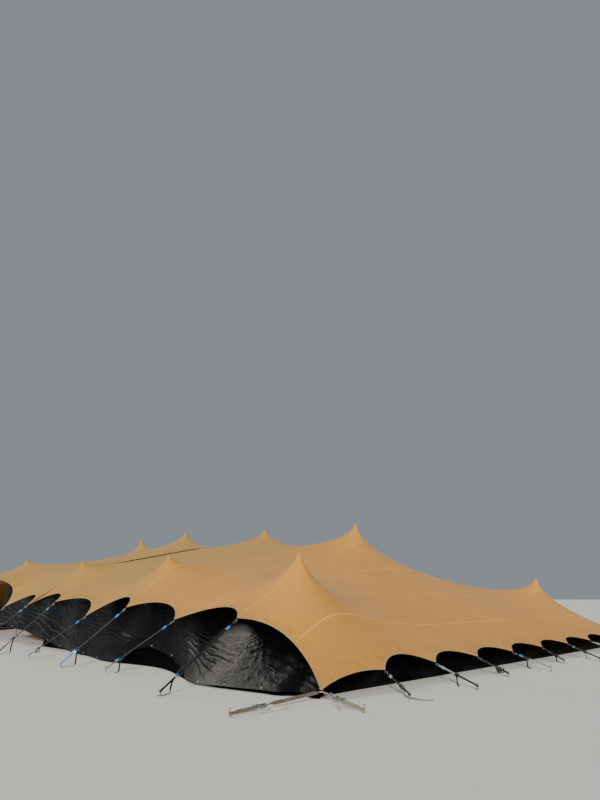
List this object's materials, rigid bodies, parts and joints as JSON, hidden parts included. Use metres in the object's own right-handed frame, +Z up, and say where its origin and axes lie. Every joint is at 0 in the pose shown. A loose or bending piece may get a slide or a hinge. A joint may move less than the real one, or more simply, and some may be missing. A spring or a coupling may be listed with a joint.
{
  "type": "stretch tent",
  "caption": "Stretch tent: two joined stretch-fabric canopies peaked over poles, scalloped hems held by ratchet straps and stakes, black wall panels inside.",
  "frame": {"origin": "on the ground, at the middle of the tent's footprint with its stakes", "axes": "+X across the tent from the entrance side to the back, +Y along it from the near corner to the far end, +Z up"},
  "size_m": [18.3013, 26.1393, 3.94],
  "materials": {
    "canopy_fabric": "knitted stretch polyester with a matt coating",
    "hem_webbing": "woven webbing",
    "wall_fabric": "coated, semi-gloss",
    "pole_metal": "mill finish",
    "strap_webbing": "woven polyester webbing with zinc-plated fittings",
    "corner_webbing": "wide woven webbing with zinc-plated fittings",
    "plated_steel": "zinc-plated"
  },
  "bodies": {
    "tent": {"canopy_near": "canopy_fabric", "canopy_far": "canopy_fabric", "hem_left": "hem_webbing", "hem_right": "hem_webbing", "hem_back": "hem_webbing", "hem_end": "hem_webbing", "strap_left_1": "strap_webbing", "strap_left_2": "strap_webbing", "strap_left_3": "strap_webbing", "strap_left_4": "strap_webbing", "strap_left_5": "strap_webbing", "strap_left_6": "strap_webbing", "strap_left_7": "strap_webbing", "strap_left_8": "strap_webbing", "strap_left_9": "strap_webbing", "strap_left_10": "strap_webbing", "strap_left_11": "strap_webbing", "strap_right_1": "strap_webbing", "strap_right_2": "strap_webbing", "strap_right_3": "strap_webbing", "strap_right_4": "strap_webbing", "strap_right_5": "strap_webbing", "strap_right_6": "strap_webbing", "strap_right_7": "strap_webbing", "strap_right_8": "strap_webbing", "strap_right_9": "strap_webbing", "corner_strap_left": "corner_webbing", "corner_strap_right": "corner_webbing", "corner_straps_right": "corner_webbing", "corner_straps_left_far": "corner_webbing", "corner_straps_back_far": "corner_webbing", "pole_near_1": "pole_metal", "pole_near_2": "pole_metal", "pole_near_3": "pole_metal", "pole_near_4": "pole_metal", "pole_near_5": "pole_metal", "pole_centre_1": "pole_metal", "pole_centre_2": "pole_metal", "pole_centre_3": "pole_metal", "pole_centre_4": "pole_metal", "pole_back_1": "pole_metal", "pole_back_2": "pole_metal", "pole_back_3": "pole_metal", "pole_back_4": "pole_metal", "pole_back_5": "pole_metal", "wall_left_1": "wall_fabric", "wall_left_2": "wall_fabric", "wall_left_3": "wall_fabric", "wall_left_4": "wall_fabric", "wall_back_1": "wall_fabric", "wall_back_2": "wall_fabric", "wall_right": "wall_fabric", "wall_end": "wall_fabric"},
    "handle_left": {"ratchet_handle_left": "plated_steel"},
    "handle_right": {"ratchet_handle_right": "plated_steel"}
  },
  "joints": [
    {"name": "handle_left_turn", "type": "hinge", "parent": "tent", "child": "handle_left", "pos_m": [-8.5498, -11.98951, 0.07095], "axis": [0.0348, 0.9994, 0], "range_deg": [0, 150]},
    {"name": "handle_right_turn", "type": "hinge", "parent": "tent", "child": "handle_right", "pos_m": [-7.59754, -12.3616, 0.09483], "axis": [-0.9771, 0.2127, 0], "range_deg": [0, 150]}
  ]
}
